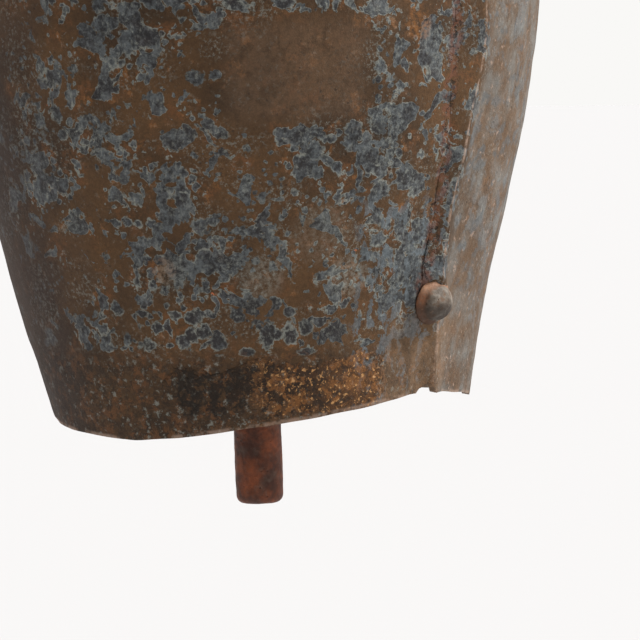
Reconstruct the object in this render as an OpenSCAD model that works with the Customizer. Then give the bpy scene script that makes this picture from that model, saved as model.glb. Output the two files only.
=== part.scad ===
// Hanging bell of riveted sheet iron with a forged clapper.
// Millimetres, +Z up. The two sheets lap at +X and -X and over the crown.
// The origin is the centre of the hanging loop's eye.

/* [Shell] */
// Outside radius of the mouth, at the lowest part of the rim
mouth_r = 45.7; // [25:0.1:110]
// Lean of the straight lower wall, in degrees from upright
wall_lean = 13.7; // [5:0.1:22]
// Height of the straight lower wall
wall_h = 62; // [30:1:150]
// Height of the widest part of the belly above the mouth
belly_h = 112; // [70:1:260]
// Radius of the rounded shoulder
shoulder_r = 42; // [20:1:60]
// Radius of the low dome on top
crown_r = 110; // [90:1:260]
// Thickness of the iron sheet
sheet_t = 1.6; // [0.8:0.1:3]
// How much higher the rim is at the seams than at the front and back
rim_rise = 6.2; // [1:0.1:14]

/* [Seam] */
// Width of the strip where the rear sheet lies over the front sheet
lap_w = 6; // [5:0.5:16]
// Width of the step that carries the rear sheet outward to the lap
joggle_w = 6; // [1:0.1:9]
// Gap between the two sheets in the lap
lap_gap = 0.1; // [0.05:0.05:0.5]
// Heights of the seam rivets above the mouth: low, middle and top
seam_rivet_z = [27, 103, 140]; // [10:1:150]
// Depth of the worn nick in the rim at the end of the right seam
nick_depth = 1.2; // [0.4:0.1:3]
// Radius of the worn nick
nick_r = 4; // [3.5:0.1:8]

/* [Rivets] */
// Shank radius of every rivet
rivet_r = 2.25; // [1.5:0.05:4]
// Radius of the round head
head_r = 4; // [3:0.1:7]
// Height of the round head
head_h = 3.6; // [1.5:0.1:5]
// Radius of the hammered tail inside the bell
tail_r = 3.5; // [2.8:0.1:6]
// Height of the hammered tail
tail_h = 1.4; // [0.8:0.1:3]
// Radius of the rove, the small washer under each strap rivet's tail
rove_r = 5; // [4:0.1:9]
// Thickness of a rove
rove_t = 1.2; // [0.8:0.1:3]

/* [Hanging strap] */
// Radius of the hanging eye
eye_r = 16; // [12:0.5:30]
// Width of the strap
strap_w = 20; // [12:1:36]
// Thickness of the strap
strap_t = 3.5; // [2:0.1:6]
// Part of the circle that the eye's wall leaves open at the bottom, in degrees
eye_gap = 78; // [60:1:88]
// Inside radius of the bends between the eye and the feet
bend_r = 3.5; // [2:0.5:8]
// Distance of each foot's round end from the bell's axis
foot_end = 38; // [30:0.5:60]
// Distances of a foot's two rivets from the bell's axis
strap_rivet_y = [19.2, 30]; // [15:0.1:50]

/* [Clapper] */
// Radius of the swivel pin's shank
pin_r = 3; // [2:0.1:6]
// Radius of the pin's riveted button on top
button_r = 5.2; // [4:0.1:9]
// Height of the pin's riveted button
button_h = 2; // [1.5:0.1:4]
// Radius of the two washers on the pin
washer_r = 7.5; // [6:0.1:14]
// Thickness of the two washers
washer_t = 1.5; // [1:0.1:3]
// Inside radius of the pin's eye
pin_eye_r = 5.5; // [5:0.1:10]
// Radius of the bar that the pin's eye is bent from
pin_bar_r = 2.5; // [1.5:0.1:4]
// Inside radius of the clapper's eye
clapper_eye_r = 5; // [4.5:0.1:9]
// Radius of the bar of the clapper's eye
clapper_bar_r = 2.7; // [1.5:0.1:4]
// Radius of the clapper's neck, just below its eye
neck_r = 3.6; // [2.5:0.1:7]
// Radius of the clapper's round rod
rod_r = 5.35; // [4:0.05:10]
// Length of the taper from the neck to the full rod
taper_h = 60; // [20:1:90]
// Radius of the rounded corner at the rod's flat end
end_round = 1.8; // [0.5:0.1:3.5]
// How far the clapper reaches below the mouth
clapper_drop = 19.6; // [5:0.1:45]
// Running clearance of the pin in the crown, on the radius
pin_fit = 0.05; // [0.01:0.01:0.1]
// Clearance between pieces that move against each other
move_gap = 0.3; // [0.2:0.05:1]

/* [Hidden] */
$fn = 120;
// Steps in a full turn of the large arcs
arc_fn = 720;

// Right and left, front and rear
RIGHT = 1;
LEFT = -1;
FRONT = -1;
REAR = 1;
LOW = 0;
MIDDLE = 1;
TOP = 2;
INNER = 0;
OUTER = 1;

// Seating gap between pieces that are fixed to each other
seat = 0.02;
// Clearance of a rivet in its hole, on the radius
rivet_fit = 0.03;
// Gap at the hidden edge of the front sheet
edge_gap = 0.1;
// Length by which a cutting solid passes the solid that it cuts
past = 1;
// Angle by which the strap's arcs run on past their joints, in degrees
blend = 1;

// The shell's outline: a straight wall, then the belly, shoulder and crown arcs
belly_arc_r = (belly_h - wall_h) / sin(wall_lean);
belly_r = mouth_r + wall_h * tan(wall_lean) + (belly_h - wall_h) * tan(wall_lean / 2);
belly_mid = belly_r - belly_arc_r;
shoulder_mid = belly_r - shoulder_r;
crown_z = belly_h - sqrt(pow(crown_r - shoulder_r, 2) - pow(shoulder_mid, 2));
crown_angle = asin(shoulder_mid / (crown_r - shoulder_r));
rim_curve_r = (pow(mouth_r, 2) + pow(rim_rise, 2)) / (2 * rim_rise);
hem = 12;
reach = 2 * crown_r;

// The lap: how far out the rear sheet's strip lies
lap_out = lap_gap + sheet_t;
lap_y = lap_w / 2;
joggle_steps = 3;

// How far a flat tail stands off the hollow side of the tightest curve
tight_r = min(mouth_r, shoulder_r) - sheet_t;
tail_sag = tight_r - sqrt(pow(tight_r, 2) - pow(tail_r, 2));

// The hanging strap: the eye stands on two bends, and these on feet that follow the crown
strap_in = crown_r + seat;
bend_mid_r = bend_r + strap_t / 2;
bend_reach = eye_r + strap_t / 2 + bend_mid_r;
bend_y = bend_reach * sin(eye_gap / 2);
bend_from_crown = strap_in + strap_t / 2 + bend_mid_r;
bend_angle = asin(bend_y / bend_from_crown);
bend_z = crown_z + bend_from_crown * cos(bend_angle);
eye_z = bend_z + bend_reach * cos(eye_gap / 2);
foot_sag = crown_r - sqrt(pow(crown_r, 2) - pow(strap_w / 2, 2));

// The clapper's hanging: heights of the pin's eye, the swing axis and the clapper's eye
crown_top = crown_z + crown_r + lap_out + seat;
crown_under = crown_z + crown_r - sheet_t - seat;
washer_top = crown_top + washer_t;
washer_under = crown_under - washer_t;
collar_h = 1.8;
collar_lip = 1.4;
eye_sink = 0.8;
pin_bend_r = pin_eye_r + pin_bar_r;
pin_eye_z = washer_under - move_gap - collar_h + eye_sink - pin_eye_r - 2 * pin_bar_r;
swing_z = pin_eye_z - pin_bend_r;
clapper_bend_r = clapper_eye_r + clapper_bar_r;
clapper_eye_z = swing_z + pin_bar_r + move_gap + clapper_bar_r - clapper_bend_r;
neck_z = clapper_eye_z - clapper_bend_r;

// Where the outline is at height z, as [radius, tilt of its outward normal]
function wall_at(z) = z < wall_h
    ? [mouth_r + z * tan(wall_lean), -wall_lean]
    : z < belly_h
        ? arc_at(belly_mid, belly_arc_r, z)
        : arc_at(shoulder_mid, shoulder_r, z);
function arc_at(mid, r, z) = let (tilt = asin((z - belly_h) / r)) [mid + r * cos(tilt), tilt];

// ---- Shared shapes ----

// A pie slice with its point at the middle, between two angles less than 180 degrees apart
module slice(from, to, r) {
    polygon([
        [0, 0], [r * cos(from), r * sin(from)],
        1.5 * [r * cos((from + to) / 2), r * sin((from + to) / 2)],
        [r * cos(to), r * sin(to)]
    ]);
}

module arc_slice(r, from, to) {
    intersection() {
        circle(r, $fn = arc_fn);
        slice(from, to, 2 * r);
    }
}

// Half of the bell's filled section, with its skin moved out by grow
module outline(grow) {
    wall_top = wall_h - grow * sin(wall_lean);
    polygon([
        [0, -hem],
        [mouth_r - hem * tan(wall_lean) + grow / cos(wall_lean), -hem],
        [belly_mid + (belly_arc_r + grow) * cos(wall_lean), wall_top],
        [0, wall_top]
    ]);
    intersection() {
        translate([belly_mid, belly_h]) circle(belly_arc_r + grow, $fn = arc_fn);
        square([reach, belly_h]);
    }
    intersection() {
        translate([shoulder_mid, belly_h]) circle(shoulder_r + grow, $fn = arc_fn);
        square([reach, 2 * reach]);
    }
    translate([0, crown_z]) arc_slice(crown_r + grow, 90 - crown_angle, 90);
}

// The solid bell with its skin moved out by grow
module bell_solid(grow) {
    rotate_extrude($fn = 2 * $fn) outline(grow);
}

// A round wall between two skins, kept from y = low to y = high
module sheet_band(inside, outside, low, high) {
    intersection() {
        rotate_extrude() difference() {
            outline(outside);
            outline(inside);
        }
        translate([-reach, low, -reach]) cube([2 * reach, high - low, 3 * reach]);
    }
}

// What is cut away below the waved rim
module below_rim() {
    rotate([90, 0, 0]) linear_extrude(2 * reach, center = true) difference() {
        translate([-reach, -reach]) square([2 * reach, reach + rim_curve_r / 2]);
        translate([0, rim_curve_r]) circle(rim_curve_r);
    }
}

// Stands its children on the seam at height z, their +Z pointing out of the bell
module on_seam(side, z) {
    place = wall_at(z);
    rotate([0, 0, side < 0 ? 180 : 0])
        translate([place[0], 0, z])
            rotate([0, 90 - place[1], 0])
                children();
}

// Stands its children on the crown at distance y from the axis, their +Z pointing out
module on_crown(side, y) {
    tilt = asin(y / crown_r);
    translate([0, side * y, crown_z + crown_r * cos(tilt)])
        rotate([-side * tilt, 0, 0])
            children();
}

// A round cap of radius r and height h, flat below
module cap(r, h) {
    ball_r = (r * r + h * h) / (2 * h);
    rotate_extrude() intersection() {
        translate([0, h - ball_r]) circle(ball_r);
        square([r + past, h + past]);
    }
}

module rivet_hole() {
    deep = sheet_t + rove_t + past;
    translate([0, 0, -deep]) cylinder(r = rivet_r + rivet_fit, h = deep + lap_out + strap_t + past);
}

module seam_holes() {
    for (side = [RIGHT, LEFT], z = seam_rivet_z)
        on_seam(side, z) rivet_hole();
}

module strap_holes(side) {
    for (y = strap_rivet_y)
        on_crown(side, y) rivet_hole();
}

module pin_hole() {
    translate([0, 0, pin_eye_z]) cylinder(r = pin_r + pin_fit, h = washer_top + past - pin_eye_z);
}

module nick() {
    right_rim = rim_curve_r - sqrt(pow(rim_curve_r, 2) - pow(wall_at(rim_rise)[0], 2));
    translate([mouth_r / 2, 0, right_rim + nick_depth - nick_r])
        rotate([0, 90, 0])
            cylinder(r = nick_r, h = mouth_r);
}

// A ring of round bar, lying flat with its centre at the origin
module bar_ring(bend_r, bar_r) {
    rotate_extrude() translate([bend_r, 0]) circle(bar_r);
}

// Puts the origin at the centre of the hanging eye
module hung() {
    translate([0, 0, -eye_z]) children();
}

// ---- Pieces ----

// The front sheet, which runs on under the lap
module front_shell() {
    color("#564637") hung() difference() {
        sheet_band(-sheet_t, 0, -reach, lap_y - edge_gap);
        below_rim();
        nick();
        seam_holes();
        strap_holes(FRONT);
        pin_hole();
    }
}

// The rear sheet, with the strip that laps over the front sheet
module rear_shell() {
    color("#5a4a3b") hung() difference() {
        union() {
            sheet_band(-sheet_t, 0, lap_y + joggle_w, reach);
            for (i = [1:joggle_steps]) {
                low = lap_y + joggle_w * (joggle_steps - i) / joggle_steps;
                sheet_band(-sheet_t, lap_out * i / joggle_steps, low, low + joggle_w / joggle_steps);
            }
            sheet_band(lap_gap, lap_out, -lap_y, lap_y);
        }
        below_rim();
        nick();
        seam_holes();
        strap_holes(REAR);
        pin_hole();
    }
}

// A seam rivet with a round head outside and a hammered tail inside
module seam_rivet(side, z) {
    tail_z = -sheet_t - tail_sag - seat;
    color("#74695f") hung() on_seam(side, z) {
        translate([0, 0, lap_out + seat]) cap(head_r, head_h);
        translate([0, 0, tail_z - tail_h / 2])
            cylinder(r = rivet_r, h = lap_out - tail_z + (tail_h + head_h) / 2);
        translate([0, 0, tail_z]) mirror([0, 0, 1]) cap(tail_r, tail_h);
    }
}

// The strap's side outline in the (y, z) plane: the eye, two bends and two feet
module strap_outline() {
    translate([0, eye_z]) difference() {
        circle(eye_r + strap_t);
        circle(eye_r);
        slice(-90 - eye_gap / 2, -90 + eye_gap / 2, 3 * eye_r);
    }
    for (side = [0, 1])
        mirror([side, 0]) {
            translate([bend_y, bend_z]) difference() {
                arc_slice(bend_r + strap_t, 90 + eye_gap / 2 - blend, 270 - bend_angle + blend);
                circle(bend_r);
            }
            translate([0, crown_z]) difference() {
                arc_slice(strap_in + strap_t, 90 - asin(foot_end / crown_r) - blend, 90 - bend_angle);
                circle(strap_in - foot_sag - seat);
            }
        }
}

// The flat iron strap, bent to a round eye, with feet shaped to the crown
module hanging_strap() {
    round_y = foot_end - strap_w / 2;
    color("#4c4039") hung() difference() {
        intersection() {
            rotate([90, 0, 90]) linear_extrude(strap_w, center = true) strap_outline();
            linear_extrude(eye_z + 2 * eye_r) {
                square([strap_w, 2 * round_y], center = true);
                for (side = [FRONT, REAR])
                    translate([0, side * round_y]) circle(strap_w / 2);
            }
        }
        bell_solid(seat);
        strap_holes(FRONT);
        strap_holes(REAR);
    }
}

// A strap rivet: its head is on the strap's foot and its tail is on a rove
module strap_rivet(side, y) {
    grip = sheet_t + rove_t + 2 * seat;
    color("#6e625a") hung() on_crown(side, y) {
        translate([0, 0, strap_t + 2 * seat]) cap(head_r, head_h);
        translate([0, 0, -grip - tail_h / 2])
            cylinder(r = rivet_r, h = grip + strap_t + (tail_h + head_h) / 2);
        translate([0, 0, -grip]) mirror([0, 0, 1]) cap(tail_r, tail_h);
    }
}

// The rove, a small washer between a strap rivet's tail and the sheet
module rove(side, y) {
    deep = sheet_t + seat + rove_t;
    color("#5c5047") hung() difference() {
        intersection() {
            on_crown(side, y) translate([0, 0, -deep]) cylinder(r = rove_r, h = 2 * rove_t);
            bell_solid(-sheet_t - seat);
        }
        on_crown(side, y) rivet_hole();
    }
}

// The washer on top of the crown, under the pin's button
module crown_washer() {
    color("#5f544b") hung() difference() {
        translate([0, 0, washer_top - 2 * washer_t]) cylinder(r = washer_r, h = 2 * washer_t);
        bell_solid(lap_out + seat);
        pin_hole();
    }
}

// The washer below the crown, above the pin's collar
module inside_washer() {
    color("#5f544b") hung() difference() {
        intersection() {
            translate([0, 0, washer_under]) cylinder(r = washer_r, h = 2 * washer_t);
            bell_solid(-sheet_t - seat);
        }
        pin_hole();
    }
}

// The pin that turns in the crown, with the eye that carries the clapper
module clapper_eye_pin() {
    collar_top = washer_under - move_gap;
    button_z = washer_top + move_gap;
    shank_z = pin_eye_z + pin_bend_r;
    color("#5e4a3c") hung() {
        translate([0, 0, button_z]) cap(button_r, button_h);
        translate([0, 0, collar_top - collar_h]) cylinder(r = pin_r + collar_lip, h = collar_h);
        translate([0, 0, shank_z]) cylinder(r = pin_r, h = button_z - shank_z + button_h / 2);
        translate([0, 0, pin_eye_z]) rotate([90, 0, 0]) bar_ring(pin_bend_r, pin_bar_r);
    }
}

// The forged clapper: an eye, a neck that tapers out to a round rod, and a flat end
module clapper() {
    flat_r = rod_r - end_round;
    round_z = end_round - clapper_drop;
    color("#523325") hung() {
        translate([0, 0, clapper_eye_z]) rotate([0, 90, 0]) bar_ring(clapper_bend_r, clapper_bar_r);
        rotate_extrude() {
            polygon([
                [0, -clapper_drop], [flat_r, -clapper_drop], [flat_r, round_z], [rod_r, round_z],
                [rod_r, neck_z - taper_h], [neck_r, neck_z], [0, neck_z]
            ]);
            translate([flat_r, round_z]) circle(end_round);
        }
    }
}

// ---- Nodes ----

front_shell();
rear_shell();
seam_rivet(RIGHT, seam_rivet_z[LOW]);  // right_seam_rivet_low
seam_rivet(RIGHT, seam_rivet_z[MIDDLE]);  // right_seam_rivet_middle
seam_rivet(RIGHT, seam_rivet_z[TOP]);  // right_seam_rivet_top
seam_rivet(LEFT, seam_rivet_z[LOW]);  // left_seam_rivet_low
seam_rivet(LEFT, seam_rivet_z[MIDDLE]);  // left_seam_rivet_middle
seam_rivet(LEFT, seam_rivet_z[TOP]);  // left_seam_rivet_top
hanging_strap();
strap_rivet(FRONT, strap_rivet_y[INNER]);  // front_strap_rivet_inner
strap_rivet(FRONT, strap_rivet_y[OUTER]);  // front_strap_rivet_outer
strap_rivet(REAR, strap_rivet_y[INNER]);  // rear_strap_rivet_inner
strap_rivet(REAR, strap_rivet_y[OUTER]);  // rear_strap_rivet_outer
rove(FRONT, strap_rivet_y[INNER]);  // front_rove_inner
rove(FRONT, strap_rivet_y[OUTER]);  // front_rove_outer
rove(REAR, strap_rivet_y[INNER]);  // rear_rove_inner
rove(REAR, strap_rivet_y[OUTER]);  // rear_rove_outer
crown_washer();
inside_washer();
clapper_eye_pin();
clapper();
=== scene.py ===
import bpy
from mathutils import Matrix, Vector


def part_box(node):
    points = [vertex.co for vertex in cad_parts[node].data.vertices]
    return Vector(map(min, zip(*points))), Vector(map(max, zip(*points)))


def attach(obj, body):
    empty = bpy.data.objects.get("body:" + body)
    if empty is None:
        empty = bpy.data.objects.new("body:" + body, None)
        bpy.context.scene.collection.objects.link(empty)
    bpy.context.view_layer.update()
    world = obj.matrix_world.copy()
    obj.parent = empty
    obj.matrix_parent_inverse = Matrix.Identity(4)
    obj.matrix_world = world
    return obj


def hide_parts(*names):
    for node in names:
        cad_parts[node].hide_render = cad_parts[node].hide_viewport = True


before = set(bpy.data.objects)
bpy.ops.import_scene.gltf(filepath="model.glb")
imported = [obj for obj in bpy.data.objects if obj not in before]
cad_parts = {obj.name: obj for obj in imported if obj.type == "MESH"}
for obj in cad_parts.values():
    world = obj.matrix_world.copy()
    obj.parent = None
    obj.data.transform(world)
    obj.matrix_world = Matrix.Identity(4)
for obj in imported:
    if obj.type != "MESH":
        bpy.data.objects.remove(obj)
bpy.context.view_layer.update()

import math
import random

import bpy
from mathutils import Euler, Matrix, Quaternion, Vector

bl_info = {
    "name": "Sheet Iron Bell",
    "version": (1, 0, 0),
    "blender": (4, 5, 0),
    "location": "View3D > Sidebar > Bell",
    "description": "Builds the visual pieces of a hand-forged sheet iron bell",
    "category": "Add Mesh",
}

MM = 0.001
MOUTH_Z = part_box("front_shell")[0].z
ROD_END_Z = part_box("clapper")[0].z
SHELL_BODY, PIN_BODY, CLAPPER_BODY = "shell", "eye_pin", "clapper"
SIDES = {"right": 1, "left": -1}
HEIGHTS = {"low": 0, "middle": 1, "top": 2}
ENDS = {"front": -1, "rear": 1}
REACHES = {"inner": 0, "outer": 1}

# In millimetres and degrees, for settings and finishes alike
MOUTH_R, WALL_LEAN = 45.7, 13.7
RIVET_LOW = 27
# Where the crest of the right-hand lap runs: height above the mouth and distance from
# the middle of the seam, in millimetres
CREST = ((0, 4.2), (16, 2.8), (31, 0.8), (44, 0.6), (58, 1.8), (82, 4.6), (108, 3.0))
# Paints that aren't settings, as display values of 0 to 255
PAINTS = {
    "warm_rust": (106, 70, 42),
    # The violet paint is painted shade, laid over the left side to make it darker
    "shade_violet": (60, 48, 43),
    "bare": (102, 80, 62),
    "clean": (142, 114, 88),
    "scale_dark": (38, 40, 44),
    "ochre": (196, 146, 92),
    "drip": (98, 106, 111),
    "fresh": (206, 120, 84),
    "streak": (122, 124, 121),
    # The tan paint is partly the rear sheet's own tone and partly painted light, for the
    # side right of the crest that the key light falls on
    "tan": (116, 99, 84),
    # The rubbed paint is pale wear on the rim and right of the crest, and a painted
    # highlight along the lap's crest
    "rubbed_and_highlight": (172, 146, 128),
    "groove": (110, 68, 50),
}
# Rivet paints: rust on the skirt, painted light on the upper skirt of the low rivets, and
# painted shadow over their lower part
RIVET_RUST_LIGHT_AND_SHADE = {"skirt": (118, 76, 50), "above": (166, 126, 98), "under": (44, 34, 27)}
# Forged iron: dark, light and rust colours, size of the lumps and depth of the relief.
# The rod's light colour is a setting.
FORGED = {
    "rivet_iron": ((84, 70, 58), (124, 115, 104), (112, 84, 64), 2.0, 0.15),
    "strap_iron": ((62, 53, 46), (92, 80, 70), (104, 70, 44), 7, 0.15),
    "plain_iron": ((66, 55, 46), (98, 84, 72), (112, 74, 46), 3, 0.15),
    "rod_rust": ((66, 34, 20), None, (104, 88, 78), 7, 0.2),
}
# Single marks on the sheets: direction in degrees and height, reach, paint, strength
MARKS = (
    ((-88, 71.5), 0.7, "fresh", 0.8),
    ((-69, 83.5), 0.6, "fresh", 0.7),
    ((-55, 31), 0.4, "fresh", 0.7),
    ((-23, 39), 0.4, "fresh", 0.5),
    ((-12, 85.5), 4.5, "orange_rust", 0.6),
    ((-66, 36), 3.5, "orange_rust", 0.4),
    ((-64, 35.5), 4.5, "scale_edge", 0.3),
    ((-24, 33.5), 5.5, "scale_edge", 0.4),
    ((-44, 34), 6.0, "scale_edge", 0.3),
    ((-31, 43), 8.0, "scale_edge", 0.16),
    ((-19, 64), 2.6, "crust", 0.6),
)


# ---- Sizes and colours that a user would change ----

def length(name, description, default_mm):
    """A length setting in metres, from a default in millimetres."""
    return bpy.props.FloatProperty(
        name=name, description=description, default=default_mm * MM, unit="LENGTH",
        precision=5)


def tint(name, description, red, green, blue):
    """A colour setting in scene linear light, from display values of 0 to 255."""
    return bpy.props.FloatVectorProperty(
        name=name, description=description, subtype="COLOR", size=3, min=0, max=1,
        default=linear(red, green, blue)[:3])


def linear(red, green, blue):
    """A scene linear colour with alpha, from display values of 0 to 255."""
    shades = [value / 255 for value in (red, green, blue)]
    return tuple(
        shade / 12.92 if shade <= 0.04045 else ((shade + 0.055) / 1.055) ** 2.4
        for shade in shades) + (1.0,)


class BellSheetSettings(bpy.types.PropertyGroup):
    mouth_r: length("Mouth radius", "Outside radius at the lowest part of the rim",
                    MOUTH_R)
    wall_h: length("Wall height", "Height of the straight lower wall", 62)
    belly_h: length("Belly height", "Height of the widest part", 112)
    shoulder_r: length("Shoulder radius", "Radius of the rounded shoulder", 42)
    crown_r: length("Crown radius", "Radius of the low dome on top", 110)
    thickness: length("Sheet thickness", "Thickness of the iron sheet", 1.6)
    rim_rise: length("Rim rise", "How much higher the rim is at the seams", 6.2)
    lap: length("Lap width", "Width of the lap at each seam", 6)
    joggle: length("Joggle width", "Width of the slope down from the lap", 6)
    lap_edge: length("Lap edge", "How far out the hammered edge of the lap stands", 0.4)
    lap_gap: length("Lap gap", "Gap between the two sheets in the lap", 0.1)
    hole_r: length("Pin hole radius", "Hole in the crown for the eye pin", 3.05)
    step: length("Mesh step", "Length of a face up the wall", 1.1)
    dents: length("Hammer marks", "Depth of the broad hammer marks", 1.0)
    wall_lean: bpy.props.FloatProperty(
        name="Wall lean", description="Lean of the straight wall from upright",
        default=math.radians(WALL_LEAN), subtype="ANGLE")


class BellRivetSettings(bpy.types.PropertyGroup):
    shank_r: length("Shank radius", "Radius of a rivet's shank", 2.25)
    head_r: length("Head radius", "Radius of the round head", 4)
    head_h: length("Head height", "Height of the round head", 3.6)
    tail_r: length("Tail radius", "Radius of the hammered tail", 3.5)
    tail_h: length("Tail height", "Height of the hammered tail", 1.4)
    rove_t: length("Rove thickness", "Thickness of a rove", 1.2)
    strap_t: length("Strap thickness", "Thickness of the strap under a head", 3.5)
    seam_z: bpy.props.FloatVectorProperty(
        name="Seam rivet heights", description="Heights above the mouth", size=3,
        default=(RIVET_LOW * MM, 103 * MM, 140 * MM), unit="LENGTH")
    strap_y: bpy.props.FloatVectorProperty(
        name="Strap rivet places", description="Distances from the bell's axis", size=2,
        default=(19.2 * MM, 30 * MM), unit="LENGTH")


class BellClapperSettings(bpy.types.PropertyGroup):
    rod_r: length("Rod radius", "Radius of the clapper's rod", 5.35)
    neck_r: length("Neck radius", "Radius just below the clapper's eye", 3.6)
    taper_h: length("Taper", "Length of the taper below the neck", 60)
    end_round: length("End rounding", "Radius of the rounded corner at the end", 1.8)
    eye_r: length("Eye radius", "Inside radius of the clapper's eye", 5)
    bar_r: length("Eye bar radius", "Radius of the bar of the clapper's eye", 2.7)


class BellFinishSettings(bpy.types.PropertyGroup):
    rust: tint("Rust", "Plain brown rust of the sheets", 90, 65, 41)
    dark_rust: tint("Dark rust", "Deep brown rust", 64, 47, 31)
    orange_rust: tint("Orange rust", "Fresh rust", 138, 90, 46)
    scale: tint("Scale", "Blue-grey mill scale", 86, 92, 95)
    scale_edge: tint("Scale edge", "Thin light edge round the scale", 134, 136, 128)
    crust: tint("Crust", "Black crust near the rim", 38, 33, 29)
    rod: tint("Rod", "Red-brown rust of the clapper", 132, 68, 35)
    floor: tint("Floor", "Plain pale floor", 210, 209, 209)


# ---- Selecting and making meshes ----

def only(obj):
    """Selects obj alone and makes it active."""
    bpy.ops.object.select_all(action="DESELECT")
    obj.select_set(True)
    bpy.context.view_layer.objects.active = obj


def finish_with(obj, kind, **settings):
    """Adds a modifier and applies it."""
    only(obj)
    modifier = obj.modifiers.new(kind.title(), kind)
    for name, value in settings.items():
        setattr(modifier, name, value)
    bpy.ops.object.modifier_apply(modifier=modifier.name)


def start_point(name, place):
    """A new object in edit mode whose mesh is one selected point."""
    bpy.ops.object.select_all(action="DESELECT")
    bpy.ops.mesh.primitive_plane_add(size=MM)
    obj = bpy.context.active_object
    obj.name = obj.data.name = name
    bpy.ops.object.mode_set(mode="EDIT")
    bpy.ops.mesh.select_all(action="SELECT")
    bpy.ops.mesh.merge(type="CENTER")
    bpy.ops.transform.translate(value=place)
    return obj


def turned(name, outline, turns):
    """A turned mesh: outline is (radius, height) points, turns is (angle, steps) pairs."""
    points = [Vector((radius, 0, height)) for radius, height in outline]
    obj = start_point(name, points[0])
    for here, there in zip(points, points[1:]):
        bpy.ops.mesh.extrude_vertices_move(
            TRANSFORM_OT_translate={"value": there - here})
    bpy.ops.mesh.select_all(action="SELECT")
    for angle, steps in turns:
        bpy.ops.mesh.spin(steps=steps, angle=angle, center=(0, 0, 0), axis=(0, 0, 1))
    bpy.ops.mesh.select_all(action="SELECT")
    bpy.ops.mesh.remove_doubles(threshold=0.02 * MM)
    bpy.ops.mesh.normals_make_consistent(inside=False)
    bpy.ops.object.mode_set(mode="OBJECT")
    return obj


def reshape(obj, rule):
    """Moves each vertex to where rule says, from its place and its outward direction."""
    mesh = obj.data
    moved = [rule(v.co.copy(), v.normal.copy()) for v in mesh.vertices]
    for vertex, place in zip(mesh.vertices, moved):
        vertex.co = place
    mesh.update()


def mark(obj, name, rule):
    """Stores a number at each vertex for the finish to read, from the vertex's place."""
    store = obj.data.attributes.new(name, "FLOAT", "POINT")
    store.data.foreach_set("value", [rule(v.co) for v in obj.data.vertices])


def clouds(size):
    """A solid pattern for Displace, with lumps of the given size."""
    name = f"lumps_{size / MM:.2f}"
    pattern = bpy.data.textures.get(name)
    if pattern is None:
        pattern = bpy.data.textures.new(name, "CLOUDS")
        pattern.noise_scale = size
    return pattern


def roughen(obj, size, depth, group=""):
    """Raises and sinks the skin by a solid pattern."""
    finish_with(obj, "DISPLACE", texture=clouds(size), texture_coords="LOCAL",
                strength=depth, mid_level=0.5, vertex_group=group)


def smooth(obj, angle=45):
    """Smooth shading that keeps edges sharper than angle."""
    only(obj)
    bpy.ops.object.shade_smooth_by_angle(angle=math.radians(angle))


def ease(value, low, high):
    """0 below low, 1 above high and smooth between; low may be the higher one."""
    part = min(max((value - low) / (high - low), 0), 1)
    return part * part * (3 - 2 * part)


def along(table, value, step=ease):
    """A smooth line through a table of (place, number) pairs."""
    total = table[0][1]
    for (low, start), (high, end) in zip(table, table[1:]):
        total = step(value, low, high) * (end - start) + total
    return total


def hand_over(obj, body, slot, finish, *nodes):
    """Gives a finished piece its material and body, and hides the nodes it stands for."""
    obj.data.materials.clear()
    obj.data.materials.append(finish)
    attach(obj, body)
    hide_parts(*nodes)


# ---- The bell's outline ----

class Outline:
    """The outside line of the bell, from the rim to the crown, mouth at height 0."""

    def __init__(self, size):
        lean = size.wall_lean
        self.size = size
        self.belly_arc = (size.belly_h - size.wall_h) / math.sin(lean)
        self.belly_r = (size.mouth_r + size.wall_h * math.tan(lean)
                        + (size.belly_h - size.wall_h) * math.tan(lean / 2))
        self.shoulder_mid = self.belly_r - size.shoulder_r
        drop = size.crown_r - size.shoulder_r
        self.crown_z = size.belly_h - math.sqrt(drop ** 2 - self.shoulder_mid ** 2)
        self.crown_angle = math.asin(self.shoulder_mid / drop)

    def arc(self, mid, height, radius, start, end):
        """Points on an arc; angles are tilts of the outward direction above level."""
        count = math.ceil(abs(end - start) * radius / self.size.step)
        tilts = [start + (end - start) * i / count for i in range(1, count + 1)]
        return [(mid + radius * math.cos(t), height + radius * math.sin(t)) for t in tilts]

    def points(self):
        size = self.size
        count = math.ceil(size.wall_h / size.step)
        wall = [(self.radius_at(size.wall_h * i / count), size.wall_h * i / count)
                for i in range(count + 1)]
        belly = self.arc(self.belly_r - self.belly_arc, size.belly_h, self.belly_arc,
                         -size.wall_lean, 0)
        shoulder = self.arc(self.shoulder_mid, size.belly_h, size.shoulder_r,
                            0, math.pi / 2 - self.crown_angle)
        crown = self.arc(0, self.crown_z, size.crown_r, math.pi / 2 - self.crown_angle,
                         math.pi / 2 - math.asin(size.hole_r / size.crown_r))
        return wall + belly + shoulder + crown

    def radius_at(self, z):
        return self.size.mouth_r + z * math.tan(self.size.wall_lean)

    def place(self, z):
        """Radius and tilt of the outward direction at height z."""
        if z < self.size.wall_h:
            return self.radius_at(z), -self.size.wall_lean
        high = z < self.size.belly_h
        radius = self.belly_arc if high else self.size.shoulder_r
        mid = self.belly_r - self.belly_arc if high else self.shoulder_mid
        tilt = math.asin((z - self.size.belly_h) / radius)
        return mid + radius * math.cos(tilt), tilt


# ---- Shader sums ----

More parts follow.
